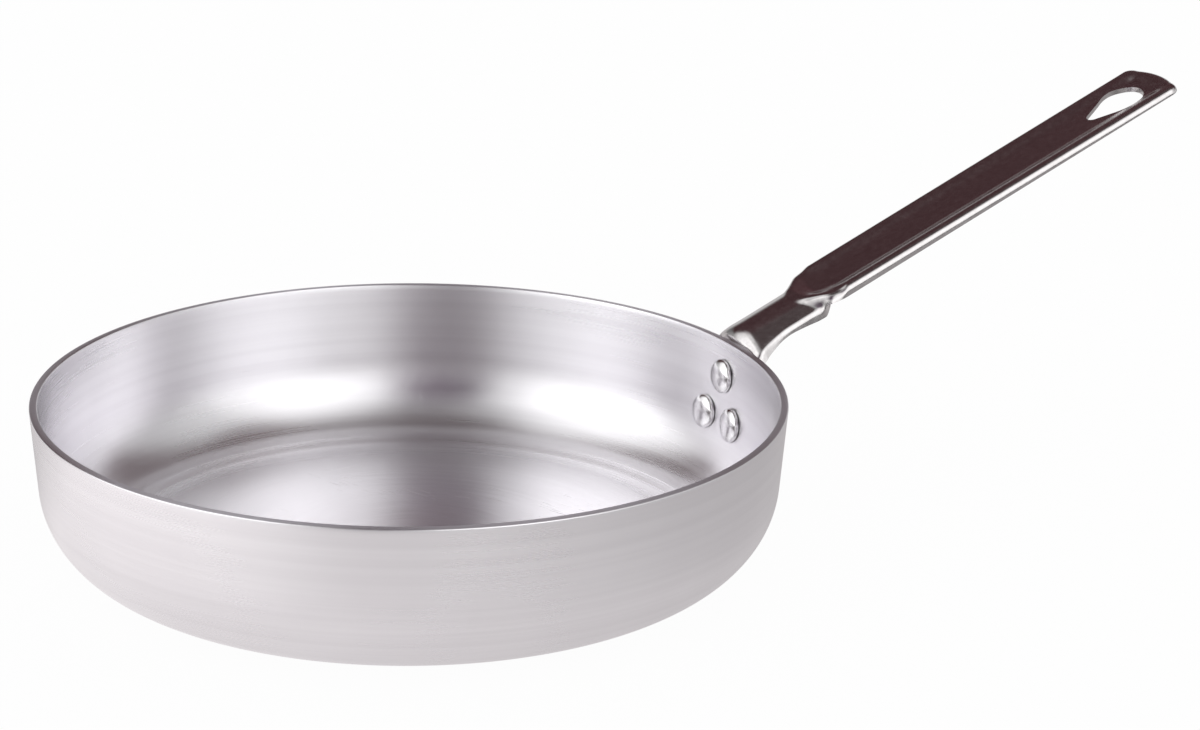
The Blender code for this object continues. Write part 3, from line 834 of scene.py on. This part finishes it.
def floor_piece():
    """The table, a hair below the base so that the two faces don't meet."""
    mesh = bmesh.new()
    bmesh.ops.create_grid(mesh, x_segments=FLOOR_SQUARES, y_segments=FLOOR_SQUARES,
                          size=FLOOR_HALF)
    for corner in mesh.verts:
        corner.co.z = -FLOOR_GAP
    piece = smooth_piece("studio_floor", mesh, FLOOR_SHARP_FROM)
    nodes = Nodes("studio_floor_white")
    place = nodes.add("ShaderNodeTexCoord").outputs["Object"]
    grain = nodes.noise(place, 90.0, detail=3.0)
    ramp = nodes.add("ShaderNodeValToRGB")
    nodes.join(grain, ramp.inputs["Fac"])
    ramp.color_ramp.elements[0].color = (0.86, 0.86, 0.86, 1.0)
    ramp.color_ramp.elements[1].color = (0.90, 0.90, 0.90, 1.0)
    nodes.join(ramp.outputs["Color"], nodes.shader.inputs["Base Color"])
    nodes.shader.inputs["Roughness"].default_value = 0.9
    nodes.shader.inputs["Specular IOR Level"].default_value = 0.0
    axes = nodes.add("ShaderNodeSeparateXYZ")
    nodes.join(place, axes.inputs[0])
    aside, ahead = toward(90, 0), toward(0, 0)
    sideways = nodes.sum("ADD", nodes.sum("MULTIPLY", axes.outputs[0], aside.x),
                         nodes.sum("MULTIPLY", axes.outputs[1], aside.y))
    forward = nodes.sum("ADD", nodes.sum("MULTIPLY", axes.outputs[0], ahead.x),
                        nodes.sum("MULTIPLY", axes.outputs[1], ahead.y))
    # painted light: the floor glows for the metal only, brighter on the left and fading out towards
    # the camera
    painted_glow_for_metal = nodes.sum("MULTIPLY", nodes.spread(sideways, -0.30, 0.30, 1.05, 0.40),
                          nodes.spread(forward, 0.30, 0.50, 1.0, 0.08))
    # and the painted glow is dimmer behind the pan on the left
    behind = nodes.sum("MULTIPLY", nodes.spread(forward, -0.10, 0.0, 0.30, 0.0),
                       nodes.spread(sideways, -0.10, 0.10, 1.0, 0.0))
    painted_glow_for_metal = nodes.sum("SUBTRACT", painted_glow_for_metal, behind)
    light = nodes.add("ShaderNodeLightPath")
    glossy = light.outputs["Is Glossy Ray"]
    seen = nodes.sum("MAXIMUM", light.outputs["Is Camera Ray"],
                     light.outputs["Is Transmission Ray"])
    strength = nodes.sum("ADD", seen, nodes.sum("MULTIPLY", glossy, painted_glow_for_metal))
    white = nodes.add("ShaderNodeEmission")
    nodes.join(strength, white.inputs["Strength"])
    # the painted glow is a little pink to the metal and plain white to the camera
    painted_glow_tint = nodes.add("ShaderNodeMix", data_type="RGBA")
    nodes.join(glossy, painted_glow_tint.inputs["Factor"])
    painted_glow_tint.inputs["A"].default_value = (1.0, 1.0, 1.0, 1.0)
    painted_glow_tint.inputs["B"].default_value = (1.0, 0.960, 0.962, 1.0)
    nodes.join(painted_glow_tint.outputs["Result"], white.inputs["Color"])
    mix = nodes.add("ShaderNodeMixShader")
    glowing = nodes.sum("MULTIPLY", nodes.sum("MAXIMUM", seen, glossy), FLOOR_GLOW)
    nodes.join(glowing, mix.inputs[0])
    nodes.join(nodes.shader.outputs[0], mix.inputs[1])
    nodes.join(white.outputs[0], mix.inputs[2])
    nodes.join(mix.outputs[0], nodes.output.inputs["Surface"])
    piece.data.materials.append(nodes.material)


def studio_world():
    """White to the camera; to the metal, wide soft lights left and right in a dark room."""
    world = bpy.data.worlds.new("studio")
    bpy.context.scene.world = world
    world.use_nodes = True
    tree = world.node_tree
    background = tree.nodes["Background"]

    def step(operation, *terms):
        node = tree.nodes.new("ShaderNodeMath")
        node.operation = operation
        for place, term in enumerate(terms):
            if isinstance(term, (int, float)):
                node.inputs[place].default_value = term
            else:
                tree.links.new(term, node.inputs[place])
        return node.outputs[0]

    def blend(share, first, second):
        node = tree.nodes.new("ShaderNodeMix")
        node.data_type = "RGBA"
        for socket, term in (("Factor", share), ("A", first), ("B", second)):
            if isinstance(term, tuple):
                node.inputs[socket].default_value = term
            else:
                tree.links.new(term, node.inputs[socket])
        return node.outputs["Result"]

    def ring(*stops):
        """Light round the horizon: each stop an azimuth and a level, dark ones tinted."""
        node = tree.nodes.new("ShaderNodeValToRGB")
        tree.links.new(around, node.inputs["Fac"])
        ramp = node.color_ramp
        ramp.interpolation = "EASE"
        ramp.elements[0].position = 0.0
        ramp.elements[1].position = 1.0
        for azimuth, level in stops[1:-1]:
            ramp.elements.new(0.5 + azimuth / 360)
        for stop, (azimuth, level) in zip(ramp.elements, stops):
            green, blue = 1.0, 1.0
            if level < 0.1:
                green, blue = 0.47, 0.52
            elif level < 0.2:
                green, blue = 0.72, 0.98
            stop.color = (level, level * green, level * blue, 1.0)
        return node.outputs["Color"]

    axes = tree.nodes.new("ShaderNodeSeparateXYZ")
    tree.links.new(tree.nodes.new("ShaderNodeTexCoord").outputs["Generated"], axes.inputs[0])
    x, y, z = axes.outputs
    aside, ahead = toward(90, 0), toward(0, 0)
    sideways = step("ADD", step("MULTIPLY", x, aside.x), step("MULTIPLY", y, aside.y))
    forward = step("ADD", step("MULTIPLY", x, ahead.x), step("MULTIPLY", y, ahead.y))
    around = step("ADD", 0.5, step("DIVIDE", step("ARCTAN2", sideways, forward), math.tau))
    low = ring((-180, 0.65), (-167, 0.60), (-152, 0.20), (-128, 0.35), (-90, 1.75),
               (-45, 1.85), (-14, 0.55), (15, 1.75), (45, 1.40), (90, 0.85), (180, 0.70))
    middle = ring((-180, 0.095), (-168, 0.065), (-130, 0.065), (-108, 1.10), (-90, 1.45),
                  (-52, 1.60), (-36, 0.95), (-21, 0.10), (-3, 0.14), (17, 1.40), (45, 1.60),
                  (62, 1.20), (78, 0.72), (105, 0.55), (126, 0.065), (168, 0.065), (180, 0.095))
    high = ring((-180, 0.07), (-150, 0.07), (-95, 1.00), (-45, 0.50), (0, 0.36), (40, 1.00),
                (62, 0.95), (92, 0.07), (180, 0.07))

    def rise(start, end):
        node = tree.nodes.new("ShaderNodeMapRange")
        node.interpolation_type = "SMOOTHSTEP"
        tree.links.new(z, node.inputs["Value"])
        node.inputs["From Min"].default_value = math.sin(math.radians(start))
        node.inputs["From Max"].default_value = math.sin(math.radians(end))
        return node.outputs["Result"]

    lit = blend(rise(8, 19), low, middle)
    lit = blend(rise(48, 60), lit, high)
    lit = blend(rise(66, 76), lit, (0.08, 0.058, 0.060, 1.0))
    light = tree.nodes.new("ShaderNodeLightPath")
    seen = step("MAXIMUM", light.outputs["Is Camera Ray"], light.outputs["Is Transmission Ray"])
    colour = blend(light.outputs["Is Glossy Ray"], (0.90, 0.90, 0.90, 1.0), lit)
    colour = blend(seen, colour, (1.0, 1.0, 1.0, 1.0))
    tree.links.new(colour, background.inputs["Color"])
    background.inputs["Strength"].default_value = 1.0


floor_piece()
studio_world()


# The camera stands in front and above, with the handle pointing away to the right.

CAMERA_HEIGHT = math.radians(21.292)
CAMERA_DISTANCE = 1.40
FOCAL_LENGTH = 111.52
CAMERA_YAW = math.radians(-2.921)
CAMERA_PITCH = math.radians(2.838)
CAMERA_ROLL = math.radians(0.248)
lens = bpy.data.cameras.new("camera")
lens.lens = FOCAL_LENGTH
lens.sensor_width = 36.0
lens.clip_start = 0.05
lens.clip_end = 50.0
camera = bpy.data.objects.new("camera", lens)
bpy.context.scene.collection.objects.link(camera)
bpy.context.scene.camera = camera
looking = Vector((0.0, math.cos(CAMERA_HEIGHT), -math.sin(CAMERA_HEIGHT)))
right = Vector((1.0, 0.0, 0.0))
up = right.cross(looking)
yaw = Matrix.Rotation(CAMERA_YAW, 3, up)
looking, right = yaw @ looking, yaw @ right
pitch = Matrix.Rotation(CAMERA_PITCH, 3, right)
looking, up = pitch @ looking, pitch @ up
roll = Matrix.Rotation(CAMERA_ROLL, 3, looking)
right, up = roll @ right, roll @ up
stand = Matrix.Rotation(STUDIO_TURN, 3, "Z")
facing = stand @ Matrix((right, up, -looking)).transposed()
placed = facing.to_4x4()
placed.translation = toward(0.0, math.degrees(CAMERA_HEIGHT)) * CAMERA_DISTANCE
camera.matrix_world = placed

bpy.context.scene.view_settings.view_transform = "Standard"
